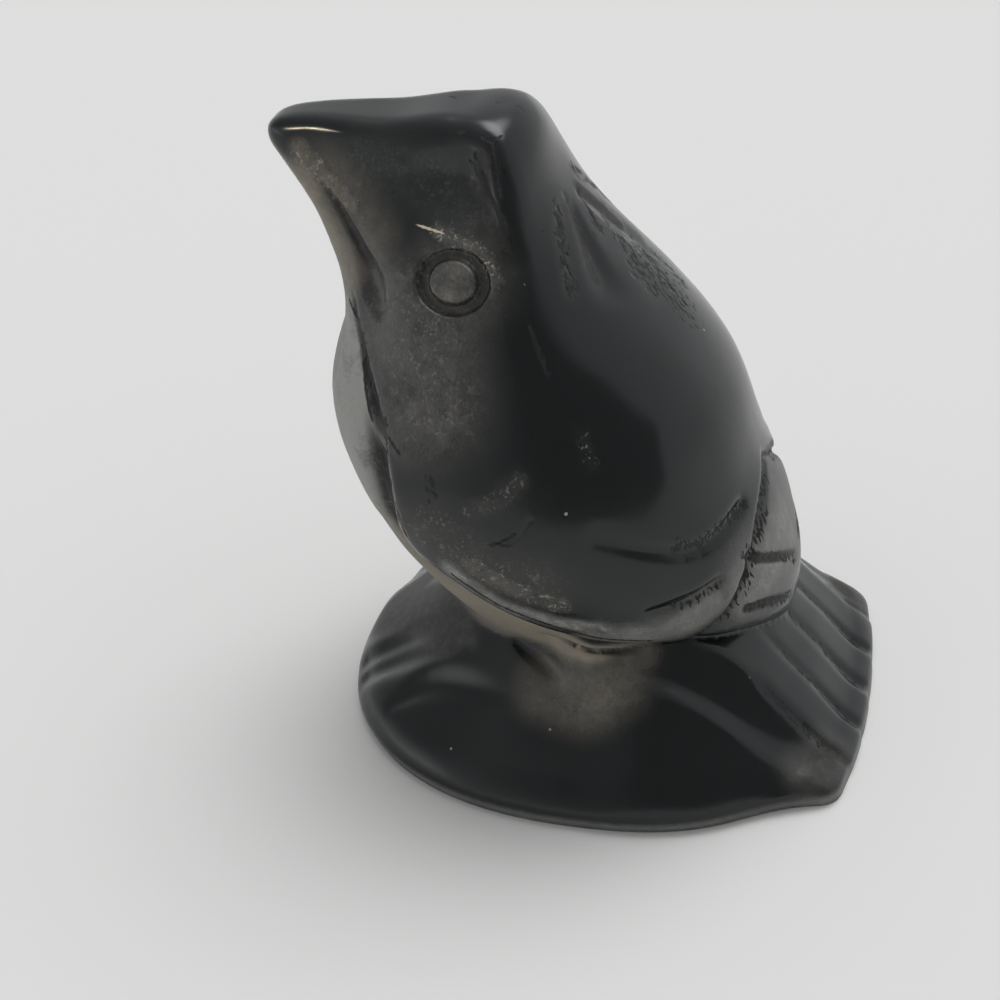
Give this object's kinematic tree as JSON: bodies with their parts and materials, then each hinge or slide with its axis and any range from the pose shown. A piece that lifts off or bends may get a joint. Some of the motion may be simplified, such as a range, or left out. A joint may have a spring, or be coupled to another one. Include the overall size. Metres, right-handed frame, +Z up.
{
  "type": "bird carving",
  "caption": "Small obsidian bird carving: a long-beaked bird with ringed eyes and folded wings, cut in one piece with its low oval base.",
  "frame": {"origin": "middle of the flat underside, under the point where the carving's left-right plane meets the base's middle", "axes": "+Z up, the beak points to -Y, the bird's left side is +X"},
  "size_m": [0.0288, 0.0344, 0.0368],
  "materials": {
    "obsidian": "polished black volcanic glass, with a few matte unpolished patches"
  },
  "bodies": {
    "root": {"bird_carving": "obsidian"}
  },
  "joints": []
}
